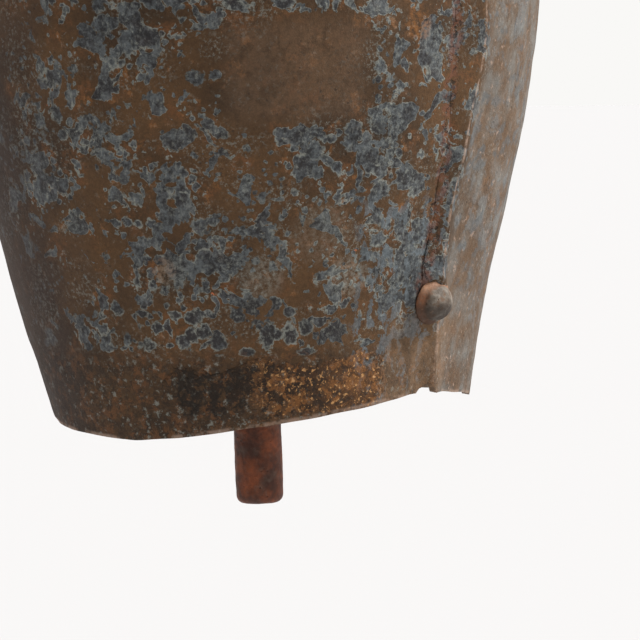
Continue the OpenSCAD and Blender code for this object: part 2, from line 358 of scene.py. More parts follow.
class Wire:
    """A shader socket that is used in sums as a number is."""

    def __init__(self, tree, socket):
        self.tree = tree
        self.socket = socket

    def make(self, kind, settings=None, sockets=None, output=0):
        """Adds any node: settings first, then the values or wires of its sockets."""
        node = self.tree.nodes.new(kind)
        for name, value in (settings or {}).items():
            setattr(node, name, value)
        for name, value in (sockets or {}).items():
            if isinstance(value, Wire):
                self.tree.links.new(value.socket, node.inputs[name])
            else:
                node.inputs[name].default_value = value
        return Wire(self.tree, node.outputs[output]) if node.outputs else None

    def sum(self, operation, *values):
        return self.make("ShaderNodeMath", {"operation": operation},
                         dict(enumerate(values)))

    def __add__(self, other):
        return self.sum("ADD", self, other)

    def __sub__(self, other):
        return self.sum("SUBTRACT", self, other)

    def __rsub__(self, other):
        return self.sum("SUBTRACT", other, self)

    def __mul__(self, other):
        return self.sum("MULTIPLY", self, other)

    def __truediv__(self, other):
        return self.sum("DIVIDE", self, other)

    __radd__ = __add__
    __rmul__ = __mul__

    def most(self, other):
        return self.sum("MAXIMUM", self, other)

    def least(self, other):
        return self.sum("MINIMUM", self, other)

    def size(self):
        return self.sum("ABSOLUTE", self)

    def ramp(self, low, high, start=0.0, end=1.0):
        """Smooth step from start at low to end at high."""
        if low > high:
            low, high, start, end = high, low, end, start
        return self.make("ShaderNodeMapRange", {"interpolation_type": "SMOOTHSTEP"},
                         {0: self, 1: low, 2: high, 3: start, 4: end})

    def between(self, low, high, soft):
        """1 between low and high, falling to 0 over soft on both sides."""
        return self.ramp(low - soft, low) * self.ramp(high + soft, high)

    def over(self, under, top):
        """Colour top over colour under, as much as this mask says."""
        return self.make("ShaderNodeMix", {"data_type": "RGBA"},
                         {0: self, 6: under, 7: top}, output=2)

    def shaded(self, colour):
        """A colour made darker or lighter by this number."""
        return self.make("ShaderNodeVectorMath", {"operation": "SCALE"},
                         {0: colour, 3: self})

    def vector(self, operation, other, output=0):
        """A sum of two vectors, or of two places."""
        return self.make("ShaderNodeVectorMath", {"operation": operation},
                         {0: self, 1: other}, output)

    def scaled(self, x, y, z):
        return self.vector("MULTIPLY", (x, y, z))

    def away(self, point):
        """Distance from a point."""
        return self.vector("DISTANCE", point, 1)

    def noise(self, size, detail=3.0, rough=0.55, warp=0.0, output=0):
        """Soft lumps of about the given size in millimetres."""
        return self.make("ShaderNodeTexNoise", {},
                         {"Vector": self, "Scale": 1 / size, "Detail": detail,
                          "Roughness": rough, "Distortion": warp}, output)

    def cells(self, size, output=0):
        """Distance in a pattern of cells of about the given size in millimetres."""
        return self.make("ShaderNodeTexVoronoi", {},
                         {"Vector": self, "Scale": 1 / size}, output)

    def warped(self, size, reach):
        """The same places, pushed about by a noise."""
        push = self.noise(size, 2.0, output=1).vector("SUBTRACT", (0.5, 0.5, 0.5))
        return self.vector("ADD", push.scaled(reach, reach, reach))


class Coat:
    """A colour that paints are laid over, each as much as its mask says."""

    def __init__(self, colour, paints):
        self.colour = colour
        self.paints = paints

    def lay(self, mask, paint):
        self.colour = mask.over(self.colour, self.paints[paint])


def new_finish(name):
    """A new material and its places in millimetres, height measured from the mouth."""
    material = bpy.data.materials.new(name)
    material.use_nodes = True
    tree = material.node_tree
    tree.nodes.clear()
    place = Wire(tree, None).make("ShaderNodeTexCoord", output=3)
    place = place.vector("SUBTRACT", (0, 0, MOUTH_Z))
    return material, place.scaled(1 / MM, 1 / MM, 1 / MM)


def close_finish(colour, roughness, height, depth, specular=0.35):
    """Joins colour, roughness and height to the surface of a material."""
    bump = height.make("ShaderNodeBump", {},
                       {"Height": height, "Strength": 1.0, "Distance": depth * MM})
    shader = colour.make(
        "ShaderNodeBsdfPrincipled", {},
        {"Base Color": colour, "Roughness": roughness, "Specular IOR Level": specular,
         "Normal": bump})
    colour.make("ShaderNodeOutputMaterial", {}, {"Surface": shader})


def axes(place):
    """The x, y and z numbers of a place."""
    return [place.make("ShaderNodeSeparateXYZ", {}, {0: place}, output=i)
            for i in range(3)]


# ---- Finishes ----

def wall_spot(turn, z):
    """A point of the straight wall in millimetres, from its direction and height."""
    radius = MOUTH_R + z * math.tan(math.radians(WALL_LEAN))
    angle = math.radians(turn)
    return (radius * math.cos(angle), radius * math.sin(angle), z)


def sheet_finish(name, paints, rear):
    """Brown rust with blue-grey scale patches and crust near the rim, with a painted
    highlight on the lap's crest, painted light right of the crest and painted shade on the
    left side.
    """
    material, place = new_finish(name)
    x, y, z = axes(place)
    turn = y.sum("ARCTAN2", y, x) * math.degrees(1)
    right = (place.noise(20, 3) * 24 + x).ramp(8, 42)
    crest = along(CREST, z, Wire.ramp)
    off_crest = y - crest
    beyond = off_crest.ramp(0.5, 6) * right

    slow = place.noise(26, 3)
    middle = place.noise(7, 4, 0.6)
    fine = place.noise(1.0, 5, 0.7)
    grain = place.noise(0.3, 2)

    low_wall = z.ramp(20, 15)
    # The left side: painted shade darkens it towards violet, and its scale patches are fewer
    # and softer
    left = (place.noise(14, 3) * 40 + turn).ramp(-60, -98) * turn.ramp(-230, -150)
    bare = turn.between(-47, -26, 5) * z.between(70, 84, 6)

    coat = Coat(slow.ramp(0.35, 0.65).over(paints["dark_rust"], paints["rust"]), paints)
    warm = middle.ramp(0.48, 0.66) * place.noise(2.0, 3, 0.6).ramp(0.38, 0.6)
    coat.lay(warm * 0.8, "warm_rust")
    ginger = place.noise(3.2, 4, 0.7).ramp(0.56, 0.66) * middle.ramp(0.42, 0.56)
    coat.lay(ginger * 0.55, "orange_rust")
    # Painted shade on the left side
    coat.lay(left * 0.6, "shade_violet")
    coat.lay(low_wall * 0.5, "dark_rust")
    coat.lay(bare * 0.5, "bare")
    coat.lay(bare * place.noise(3.0, 4, 0.7).ramp(0.5, 0.6) * 0.5, "dark_rust")

    # Mill scale: big lobed patches and small round ones, with thin light edges
    near = place.warped(1.6, 1.7)
    lobes = place.warped(5, 3.0).noise(6.5, 3.5, 0.55, 0.5)
    busy = turn.between(-70, -12, 12) * z.between(24, 62, 8)
    thin = (bare * 0.3 + low_wall * 0.2 + left * 0.05 - busy * 0.012
            + (slow.ramp(0.35, 0.65) - 0.5) * 0.07)
    blobs = []
    for size, share in ((5.2, 0.58), (2.8, 0.56)):
        pick = near.make("ShaderNodeSeparateColor", {},
                         {0: near.cells(size, output=1)})
        reach = pick * 0.62 - (0.62 * (1 - share) - 0.06)
        blobs.append((reach - near.cells(size)) * 0.22)
    band = z.between(18, 27, 3) * turn.between(-78, -30, 9)
    round_cells = (0.42 - near.cells(4.3)) * 0.22 - (1 - band) * 0.3 + thin
    ragged = (place.noise(1.2, 3, 0.6) - 0.5) * 0.09
    chips = (0.37 - near.cells(1.9)) * 0.2 + place.noise(9, 3).ramp(0.4, 0.56, -0.14, 0)
    inside = ((lobes - 0.545).most(blobs[0]).most(blobs[1]).most(round_cells).most(chips)
              - thin + ragged)
    soft = 0.004 + beyond * 0.05 + left * 0.04
    patch = (inside / soft).least(1.0).most(0.0)
    edge = (inside.ramp(-0.010, 0.002) * inside.ramp(0.026, 0.006)
            * (1 - beyond) * (1 - left * 0.8))
    tone = place.noise(3.0, 2)
    mottle = (fine * 0.7 + tone * 0.6 - band * 0.1 + beyond * 0.1).ramp(0.52, 0.78)
    scale_colour = mottle.over(paints["scale_dark"], paints["scale"])
    coat.colour = (patch * 0.9).over(coat.colour, scale_colour)
    level = inside * 11 + tone * 2
    contour = (level.sum("PINGPONG", level, 0.5)
               .ramp(0.1, 0.02)) * patch * (1 - beyond)
    coat.lay(contour * fine.ramp(0.36, 0.6) * 0.3, "scale_edge")
    scratch = place.scaled(1.0, 1.0, 0.45).noise(0.9, 3, 0.6)
    coat.lay(patch * (1 - beyond) * scratch.ramp(0.56, 0.66) * 0.35, "scale_edge")
    coat.lay(patch * (1 - beyond) * scratch.ramp(0.42, 0.34) * 0.5, "crust")
    edge_strength = middle.ramp(0.38, 0.6, 0.12, 0.85) * fine.ramp(0.34, 0.52, 0.25, 1.0)
    coat.lay(edge * edge_strength, "scale_edge")

    # Fine pale mottling between and over the patches
    speckle = place.warped(1.2, 0.8).noise(0.75, 4, 0.7)
    veil = place.noise(10, 3, 0.6).ramp(0.44, 0.6) * (1 - bare * 0.8) * (1 - low_wall * 0.7)
    lines = speckle.ramp(0.52, 0.62)
    coat.lay(lines * veil * 0.5, "scale_edge")
    coat.lay(speckle.ramp(0.46, 0.36) * veil * 0.4, "crust")

    # Blue scale that runs down beside the seam
    drip_place = place.warped(2.0, 1.5).scaled(1, 1, 0.5)
    drips = (drip_place.noise(2.2, 3, 0.55).ramp(0.55, 0.575)
             * turn.between(-20, -1, 5) * z.between(3, 46, 6) * (1 - beyond))
    drip_colour = mottle.over(paints["scale"], paints["drip"])
    coat.colour = (drips * 0.75).over(coat.colour, drip_colour)

    # Dark, mottled strip along the rim, with crust above it
    strip = low_wall * place.noise(1.7, 5, 0.75).ramp(0.42, 0.6)
    coat.lay(strip * 0.55, "crust")
    coat.lay(low_wall * place.noise(2.4, 4, 0.7).ramp(0.52, 0.6) * 0.6, "warm_rust")
    flecks = low_wall * place.noise(1.5, 4, 0.7).ramp(0.56, 0.66)
    coat.lay(flecks * 0.6, "scale_edge")
    wave = place.noise(9, 4, 0.65) - 0.5
    crust_zone = ((wave * 16 + z).between(5.5, 14.5, 1.5)
                  * (wave * -60 + turn).between(-64, -12, 5))
    lump = place.warped(3, 2.5).noise(4.5, 5, 0.68)
    wisp = place.warped(2, 1.8).noise(2.6, 4, 0.65)
    black = crust_zone * lump.ramp(0.45, 0.51) * turn.ramp(-18, -38, 0.6, 1.0)
    glow = crust_zone * turn.ramp(-52, -38)
    ridges = (wisp - 0.5).size().ramp(0.09, 0.02)
    orange = glow * (ridges * 0.8).most(place.noise(6, 3).ramp(0.5, 0.62) * fine)
    coat.lay(glow * 0.3, "warm_rust")
    coat.lay(orange * 0.8, "orange_rust")
    coat.lay(black * 0.85, "crust")
    coat.lay(glow * place.noise(0.8, 3, 0.6).ramp(0.57, 0.66) * 0.9, "ochre")

    # Lighter, cleaner wall beside and below the low rivet
    clean = turn.between(-10, 8, 5) * z.ramp(28, 18) * middle.ramp(0.3, 0.6, 0.3, 1.0)
    coat.lay(clean * 0.45, "clean")

    # Single marks: fresh rust dots, pale smudges and a rusty bruise near the top
    for at, reach, paint, strength in MARKS:
        spot = near.away(wall_spot(*at)).ramp(reach, reach * 0.55)
        worn = fine.ramp(0.36, 0.6) if reach > 1 else 1.0
        coat.lay(spot * worn * strength, paint)

    # Right of the crest: a tan wash that is partly the sheet's tone and partly painted
    # light, lighter where the key light falls, and soft upright streaks
    streaks = place.scaled(1, 1, 0.7).noise(5.5, 4, 0.55)
    # Painted light in part: the whole side right of the crest made lighter
    coat.lay(beyond * 0.45, "tan")
    coat.lay(beyond * streaks.ramp(0.42, 0.68) * 0.5, "streak")
    coat.lay(beyond * streaks.ramp(0.48, 0.34) * 0.45, "rust")
    smoke = place.noise(4.5, 2).ramp(0.54, 0.64) * z.ramp(16, 40)
    coat.lay(beyond * smoke * 0.5, "scale")
    light = place.noise(1.7, 3, 0.6).ramp(0.62, 0.7)
    coat.lay(beyond * light * 0.5, "rubbed_and_highlight")

    # A painted highlight along the crest, mottled like rubbing, and rust with pits along the
    # lap's edge
    if rear:
        # Painted highlight along the crest of the lap
        crest_highlight = off_crest.between(-0.1, 0.1, 0.4) * x.ramp(0, 5)
        coat.lay(crest_highlight * place.noise(3, 4, 0.75).ramp(0.38, 0.62) * 0.6, "rubbed_and_highlight")
    groove = ((place.noise(9, 3) - 0.5) * 5 + y + 3).between(-0.8, 0.8, 1.2) * z.ramp(20, 32)
    coat.lay(groove * place.noise(2.5, 4, 0.7).ramp(0.42, 0.56) * 0.6, "groove")
    holes = groove * place.noise(1.4, 3, 0.6).ramp(0.46, 0.38)
    coat.lay(holes * 0.7, "crust")

    # Grey dust, dark pits and the fine grain over all
    dust = place.noise(1.6, 5, 0.75).ramp(0.56, 0.68) * (1 - low_wall * 0.5)
    coat.lay(dust * 0.2, "scale_edge")
    pits = place.cells(2.2).ramp(0.17, 0.08) * place.noise(5, 2).ramp(0.45, 0.6)
    coat.lay(pits * 0.5, "crust")
    # Painted shade on the left side again, over the patches
    coat.lay(left * 0.5, "shade_violet")
    coat.colour = (fine * 1.0 + grain * 0.8 + 0.1).shaded(coat.colour)

    # The rim is rubbed pale in places
    rim = place.make("ShaderNodeAttribute", {"attribute_name": "rim"}, output=2)
    rubbed_rim = rim.ramp(1.0, 0.3) * place.noise(7, 4, 0.7).ramp(0.46, 0.58)
    coat.lay(rubbed_rim * 0.5, "rubbed_and_highlight")

    height = (patch * 0.4 + edge * 0.2 + fine * 1.0 + grain * 0.3
              - pits * 0.6 - holes * 1.5 + crust_zone * (lump * 3.0 + wisp * 2 + fine)
              + lines * veil * 0.15 + strip * 0.3)
    roughness = 0.74 - patch * 0.16 + black * 0.1 + fine * 0.08
    close_finish(coat.colour, roughness, height, 0.15, specular=0.26)
    return material


def forged_finish(name, dark, light, rust, lump, depth):
    """Forged iron: dark and light brown-grey with rust in the hollows, painted light on the
    upper skirt of the low rivets and painted shadow just below their middle.
    """
    material, place = new_finish(name)
    broad = place.noise(lump, 4, 0.6)
    fine = place.noise(0.9, 4, 0.65)
    colour = broad.ramp(0.34, 0.68).over(dark, light)
    rusty = place.warped(4, 2).noise(lump * 0.7, 3).ramp(0.5, 0.64)
    colour = (rusty * 0.6).over(colour, rust)
    stain = place.make("ShaderNodeAttribute", {"attribute_name": "stain"}, output=2)
    height = axes(place)[2]
    coat = Coat(colour, {key: linear(*shades) for key, shades in RIVET_RUST_LIGHT_AND_SHADE.items()})
    coat.lay(stain * fine.ramp(0.3, 0.55, 0.5, 1.0), "skirt")
    # Painted light: the upper part of the low rivets' skirts is made lighter, as if lit from
    # above
    above = stain * height.between(RIVET_LOW + 3, RIVET_LOW + 6, 2)
    coat.lay(above * 0.6 * broad.ramp(0.3, 0.5), "above")
    # Painted shadow: forged iron at the height of the low rivets' lower half is darkened, as
    # if their underside were in shade
    under = height.between(RIVET_LOW - 6, RIVET_LOW - 2, 2.5) * fine.ramp(0.25, 0.45)
    coat.lay(under * 0.7, "under")
    pits = place.cells(1.5).ramp(0.2, 0.08) * place.noise(3.5, 2).ramp(0.42, 0.6)
    colour = (fine * 0.9 + broad * 0.4 + 0.35 - pits * 0.3).shaded(coat.colour)
    relief = broad * 0.8 + fine - pits * 0.8
    close_finish(colour, 0.62 + rusty * 0.2, relief, depth)
    return material


def finish(context, name):
    """The named finish, made the first time that it is asked for."""
    made = bpy.data.materials.get(name)
    if made is not None:
        return made
    look = context.scene.bell_finish
    if name in FORGED:
        dark, light, rust, lump, depth = FORGED[name]
        light = linear(*light) if light else tuple(look.rod) + (1.0,)
        return forged_finish(name, linear(*dark), light, linear(*rust), lump, depth)
    paints = {key: linear(*shades) for key, shades in PAINTS.items()}
    for key in ("rust", "dark_rust", "orange_rust", "scale", "scale_edge", "crust"):
        paints[key] = tuple(getattr(look, key)) + (1.0,)
    return sheet_finish(name, paints, name == "rear_sheet_rust")


# ---- Operators ----

class BELL_OT_sheets(bpy.types.Operator):
    """Turns, cuts and hammers the front and rear sheets"""
    bl_idname = "bell.sheets"
    bl_label = "Sheets"

    # Narrow mesh columns on both sides of a seam, and wide ones between the seams
    fine_arc = math.radians(8)
    fine_columns = 16
    wide_columns = 149
    # Waves of the rim: height in millimetres, number in a turn and start
    rim_waves = ((0.125, 5, 1.1), (0.07, 13, 0.4), (0.04, 29, 2.0))
    # Higher and lower arcs of the rim: lift in millimetres, and the directions in degrees
    # between which it comes and goes
    rim_arcs = ((-0.3, (-2, 18), (38, 60)),
                (2.3, (38, 60), (110, 150)),
                (-1.0, (-98, -78), (-22, -2)))
    # How far up the wall the waves and the mouth's sway reach, in millimetres
    wave_reach, sway_reach = 40, 20
    sway = 0.7
    # The lap's hammered edge, in millimetres: its waves as depth, length and start, and
    # the heights over which it rises proud and lies down again
    edge_waves = ((0.6, 9, 1), (0.35, 3.1, 0))
    proud_from, proud_to = (22, 30), (48, 56)
    # How far the lap's crest stands off the sheet below it
    crest_lift = 0.25
    # The nick in the rim beside the right-hand seam, in millimetres
    nick_y, nick_half, nick_depth, nick_reach = 2.8, 3.1, 1.5, 6
    # Rings in the wall by the seam, in millimetres: middle in y and z (from the mouth, and
    # from the low rivet), radius, width and height
    dent_ring = (-7.5, 17.5, 2.1, 0.8, -0.5)
    rivet_ring = (-0.9, 1.2, 4.4, 1.1, 0.7)
    # Hammer marks: size in millimetres, and depth as a part of the setting
    hammering = ((22, 1), (9, 0.35), (3.5, 0.14))

    def turns(self):
        """The turns of a sheet before it is cut, with their steps."""
        wide = math.pi - 2 * self.fine_arc
        half = [(2 * self.fine_arc, 2 * self.fine_columns), (wide, self.wide_columns)]
        return half + half

    def rim_shift(self, size, line, x, y, z):
        """How far the wall point at height z slides up for the waved, worn rim."""
        curve = (size.mouth_r ** 2 + size.rim_rise ** 2) / (2 * size.rim_rise)
        angle = math.atan2(y, x)
        turn = math.degrees(angle)
        rise = 0
        for _ in range(2):
            across = line.radius_at(rise) * math.cos(angle)
            rise = curve - math.sqrt(curve ** 2 - across ** 2)
        lift = sum(high * math.sin(count * angle + start)
                   for high, count, start in self.rim_waves)
        for high, coming, going in self.rim_arcs:
            lift += high * (ease(turn, *coming) - ease(turn, *going))
        return (rise + lift * MM) * (1 - ease(z, 0, self.wave_reach * MM))

    def ring(self, y, z, sizes):
        """How far out a ring in the wall beside the seam stands, in millimetres."""
        middle_y, middle_z, radius, width, height = sizes
        off = Vector((0, y - middle_y, z - middle_z)).length - radius
        return height * math.exp(-(off / width) ** 2)

    def build(self, context, name, rear):
        size = context.scene.bell_sheet
        line = Outline(size)
        side = 1 if rear else -1
        obj = turned(name, line.points(), self.turns())
        half_lap = size.lap / 2
        edge = -half_lap if rear else half_lap - size.lap_gap
        only(obj)
        bpy.ops.object.mode_set(mode="EDIT")
        bpy.ops.mesh.select_all(action="SELECT")
        bpy.ops.transform.rotate(value=self.fine_arc, orient_axis="Z",
                                 center_override=(0, 0, 0))
        bpy.ops.mesh.bisect(plane_co=(0, edge, 0), plane_no=(0, side, 0),
                            clear_inner=True)
        bpy.ops.mesh.select_all(action="SELECT")
        bpy.ops.mesh.remove_doubles(threshold=0.12 * MM)
        bpy.ops.object.mode_set(mode="OBJECT")

        crest_out = size.lap_gap + size.thickness + self.crest_lift * MM
        rivet_z = context.scene.bell_rivet.seam_z[0]

        def rule(place, out):
            x, y, z = place
            right = x > 0
            if z < size.wall_h:
                up = self.rim_shift(size, line, x, y, z)
                grow = line.radius_at(z + up) / line.radius_at(z)
                sway = self.sway * MM * (1 - ease(z, 0, self.sway_reach * MM))
                # No sway in y where it would bring the wall near the clapper
                facing = math.degrees(math.atan2(y, x))
                clear = ease(facing, -135, -105) - ease(facing, -75, -45)
                place = Vector((x * grow + sway, y * grow + sway * (1 - clear), z + up))
            x, y, z = place
            height = z / MM
            crest = (along(CREST, height) if right else 3) * MM
            if rear:
                wander = sum(deep * math.sin(height / long + start)
                             for deep, long, start in self.edge_waves)
                slide = wander * MM * (1 - ease(y, -half_lap, 0))
                part = max((y + half_lap) / (crest + half_lap), 0)
                proud = 1 - 0.7 * ease(height, *self.proud_to)
                proud *= ease(height, *self.proud_from)
                proud *= 0.5 + 0.5 * math.sin(height / 2.6)
                start = size.lap_edge * proud - 0.08 * MM
                part **= 2 - ease(height, 18, 34)
                if part < 1:
                    lift = start + (crest_out - start) * part
                else:
                    down = min((y - crest) / size.joggle, 1)
                    lift = crest_out * (1 - down) ** 1.5
                place = place + out * lift + Vector((0, slide, 0))
            else:
                place = place - out * 0.15 * MM * ease(y, -2 * MM, 0.5 * MM)
            if right:
                rim = self.rim_shift(size, line, x, y, 0)
                across = (y / MM - self.nick_y) / self.nick_half
                nick_top = rim + self.nick_reach * MM
                if abs(across) < 1 and z < nick_top:
                    place.z += (self.nick_depth * MM * (1 - across ** 4)
                                * (1 - ease(z, rim, nick_top)))
                dent = self.ring(y / MM, height, self.dent_ring)
                dent += self.ring(y / MM, (z - rivet_z) / MM, self.rivet_ring)
                place = place + out * dent * MM
            return place

        reshape(obj, rule)
        weights = obj.vertex_groups.new(name="hammered")
        for vertex in obj.data.vertices:
            near_top = ease(vertex.co.z, 128 * MM, 150 * MM)
            weights.add([vertex.index], 1 - 0.85 * near_top, "REPLACE")
        for lump, share in self.hammering:
            roughen(obj, lump * MM, size.dents * share, "hammered")
        thin = obj.vertex_groups.new(name="thickness")
        for vertex in obj.data.vertices:
            share = ease(vertex.co.y, -half_lap, half_lap) if rear else 1
            thin.add([vertex.index], 0.3 + 0.7 * share, "REPLACE")
        finish_with(obj, "SOLIDIFY", thickness=size.thickness, offset=-1,
                    use_even_offset=True, vertex_group="thickness")
        finish_with(obj, "BEVEL", width=0.35 * MM, segments=2, limit_method="ANGLE",
                    angle_limit=math.radians(60))
        mark(obj, "rim", lambda place: (
            place.z - self.rim_shift(size, line, place.x, place.y, 0)) / MM)
        obj.data.transform(Matrix.Translation((0, 0, MOUTH_Z)))
        smooth(obj)
        return obj

    def execute(self, context):
        for name, node, rear in (("front_sheet", "front_shell", False),
                                 ("rear_sheet", "rear_shell", True)):
            obj = self.build(context, name, rear)
            hand_over(obj, SHELL_BODY, name, finish(context, name + "_rust"), node)
        return {"FINISHED"}


class BELL_OT_rivets(bpy.types.Operator):
    """Turns one hammered rivet of each grip and sets copies at their places"""
    bl_idname = "bell.rivets"
    bl_label = "Rivets"

    steps = 40
    dome_rings = 10
    # The flared skirt of a head, in millimetres: its height, and its points past the
    # head's radius and above the sheet
    skirt = 1.1
    flare = ((-0.05, 0.75), (0.05, 0.45), (0.3, 0.15),
             (0.75, -0.15), (1.1, -0.6), (1.2, -1.0))
    # Flat hammer marks on a head: number, lean, and reach as a part of the ball's radius
    facets = 9
    facet_lean = (0.1, 1.1)
    facet_reach = (0.90, 0.97)
    ball = 4.2

    def pattern(self, context, name, below, above):
        """A rivet along Z whose sheet surface is height 0."""
        size = context.scene.bell_rivet
        skirt = self.skirt * MM
        outline = self.dome(0.97 * size.head_r, size.head_h - skirt, above + skirt, 1)
        outline += [(size.head_r + past * MM, above + up * MM) for past, up in self.flare]
        outline += [(size.shank_r, above - 0.9 * MM), (size.shank_r, -below)]
        outline += reversed(self.dome(size.tail_r, size.tail_h, -below, -1))
        obj = turned(name, outline, [(2 * math.pi, self.steps)])
        finish_with(obj, "BEVEL", width=0.25 * MM, segments=2, limit_method="ANGLE",
                    angle_limit=math.radians(50))
        mark(obj, "stain", lambda place: ease(
            math.hypot(place.x, place.y) - (place.z - above) * 0.6,
            size.head_r - skirt, size.head_r + 0.1 * MM))
        return obj

    def dome(self, radius, height, base, way):
        """Points from the top of a dome down to its edge; way is -1 to hang."""
        ball = (radius ** 2 + height ** 2) / (2 * height)
        sweep = math.asin(radius / ball)
        return [(ball * math.sin(sweep * i / self.dome_rings),
                 base + way * (height - ball + ball * math.cos(sweep * i / self.dome_rings)))
                for i in range(self.dome_rings + 1)]

    def set_copy(self, pattern, name, place, turn, seed):
        """A copy of the pattern with hammer marks of its own, at its place."""
        only(pattern)
        bpy.ops.object.duplicate()
        obj = bpy.context.active_object
        obj.name = obj.data.name = name
        draw = random.Random(seed)
        planes = []
        for _ in range(self.facets):
            lean = draw.uniform(*self.facet_lean)
            angle = draw.uniform(0, 2 * math.pi)
            facing = Vector((math.sin(lean) * math.cos(angle),
                             math.sin(lean) * math.sin(angle), math.cos(lean)))
            planes.append((facing, draw.uniform(*self.facet_reach)))
        top = max(v.co.z for v in obj.data.vertices)
        centre = Vector((0, 0, top - self.ball * MM))

        def rule(point, out):
            for facing, reach in planes:
                past = (point - centre).dot(facing) - reach * self.ball * MM
                if past > 0:
                    point = point - facing * past * 0.85
            return point

        reshape(obj, rule)
        obj.data.transform(Matrix.Translation(place) @ turn.to_matrix().to_4x4())
        roughen(obj, 1.6 * MM, 0.25 * MM)
        smooth(obj, 40)
        return obj

    def execute(self, context):
        sheet, size = context.scene.bell_sheet, context.scene.bell_rivet
        line = Outline(sheet)
        iron = finish(context, "rivet_iron")
        lap_out = sheet.lap_gap + sheet.thickness
        seat = 0.02 * MM
        seam = self.pattern(context, "seam_rivet_pattern",
                            sheet.thickness + 0.17 * MM, lap_out + seat)
        for side_name, side in SIDES.items():
            for height_name, index in HEIGHTS.items():
                z = size.seam_z[index]
                radius, tilt = line.place(z)
                place = Vector((side * radius, 0, z + MOUTH_Z))
                turn = Euler((0, side * (math.pi / 2 - tilt), 0)).to_quaternion()
                obj = self.set_copy(seam, f"{side_name}_rivet_{height_name}", place, turn,
                                    f"{side_name}{height_name}")
                hand_over(obj, SHELL_BODY, "seam_rivet_iron", iron,
                          f"{side_name}_seam_rivet_{height_name}")
        strap = self.pattern(context, "strap_rivet_pattern",
                             sheet.thickness + size.rove_t + 2 * seat,
                             size.strap_t + 2 * seat)
        for end_name, end in ENDS.items():
            for reach_name, index in REACHES.items():
                y = size.strap_y[index]
                tilt = math.asin(y / sheet.crown_r)
                height = line.crown_z + sheet.crown_r * math.cos(tilt) + MOUTH_Z
                turn = Euler((-end * tilt, 0, 0)).to_quaternion()
                obj = self.set_copy(strap, f"{end_name}_strap_rivet_{reach_name}_look",
                                    Vector((0, end * y, height)), turn,
                                    f"{end_name}{reach_name}")
                hand_over(obj, SHELL_BODY, "strap_rivet_iron", iron,
                          f"{end_name}_strap_rivet_{reach_name}")
        for pattern in (seam, strap):
            bpy.data.objects.remove(pattern)
        return {"FINISHED"}


class BELL_OT_clapper(bpy.types.Operator):
    """Turns the clapper's rod, forges its eye onto it and roughens both"""
    bl_idname = "bell.clapper"
    bl_label = "Clapper"

    def execute(self, context):
        size = context.scene.bell_clapper
        bend_r = size.eye_r + size.bar_r
        eye_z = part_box("clapper")[1].z - size.bar_r - bend_r
        neck_z = eye_z - bend_r
        flat_r = size.rod_r - size.end_round
        corner = [(flat_r + size.end_round * math.sin(turn),
                   ROD_END_Z + size.end_round * (1 - math.cos(turn)))
                  for turn in (math.radians(15 * i) for i in range(7))]
        outline = [(0, ROD_END_Z), (flat_r * 0.5, ROD_END_Z)] + corner
        top_z = neck_z + size.bar_r * 0.6
        outline += [(size.rod_r, neck_z - size.taper_h), (size.neck_r, neck_z),
                    (size.neck_r * 0.9, top_z), (0, top_z)]
        rod = turned("clapper_rod", outline, [(2 * math.pi, 48)])
        bpy.ops.object.select_all(action="DESELECT")
        bpy.ops.mesh.primitive_torus_add(
            major_radius=bend_r, minor_radius=size.bar_r, major_segments=64,
            minor_segments=32, location=(0, 0, eye_z), rotation=(0, math.pi / 2, 0))
        bpy.ops.object.transform_apply(location=True, rotation=True, scale=True)
        rod.select_set(True)
        bpy.context.view_layer.objects.active = rod
        bpy.ops.object.join()
        finish_with(rod, "REMESH", mode="VOXEL", voxel_size=0.5 * MM)
        finish_with(rod, "SMOOTH", factor=0.5, iterations=4)
        roughen(rod, 12 * MM, 0.35 * MM)
        roughen(rod, 3 * MM, 0.16 * MM)
        smooth(rod, 60)
        hand_over(rod, CLAPPER_BODY, "clapper_iron", finish(context, "rod_rust"), "clapper")
        return {"FINISHED"}


class BELL_OT_hanging(bpy.types.Operator):
    """Forges the hanging strap, the eye pin, the washers and the roves"""
    bl_idname = "bell.hanging"
    bl_label = "Strap, pin, washers and roves"

    def forge(self, context, node, name, body, slot, iron, voxel, lump, depth):
        """A forged copy of a node: rounded, then roughened by lumps, all in millimetres."""
        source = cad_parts[node]
        only(source)
        source.hide_set(False)
        bpy.ops.object.duplicate()
        obj = bpy.context.active_object
        obj.name = obj.data.name = name
        obj.parent = None
        bpy.ops.object.mode_set(mode="EDIT")
        bpy.ops.mesh.select_all(action="SELECT")
        bpy.ops.mesh.remove_doubles(threshold=0.005 * MM)
        bpy.ops.mesh.normals_make_consistent(inside=False)
        bpy.ops.object.mode_set(mode="OBJECT")
        finish_with(obj, "REMESH", mode="VOXEL", voxel_size=voxel * MM)
        finish_with(obj, "SMOOTH", factor=0.5, iterations=3)
        roughen(obj, lump * MM, depth * MM)
        smooth(obj, 60)
        hand_over(obj, body, slot, finish(context, iron), node)

    def execute(self, context):
        self.forge(context, "hanging_strap", "strap", SHELL_BODY, "strap_iron",
                   "strap_iron", 0.6, 10, 0.5)
        self.forge(context, "clapper_eye_pin", "eye_pin_iron", PIN_BODY, "pin_iron",
                   "plain_iron", 0.35, 4, 0.15)
        for node, name in (("crown_washer", "washer_above"),
                           ("inside_washer", "washer_below")):
            self.forge(context, node, name, SHELL_BODY, "washer_iron", "plain_iron",
                       0.3, 3, 0.12)
        for end in ENDS:
            for reach in REACHES:
                self.forge(context, f"{end}_rove_{reach}", f"rove_{end}_{reach}",
                           SHELL_BODY, "rove_iron", "plain_iron", 0.25, 2, 0.1)
        return {"FINISHED"}


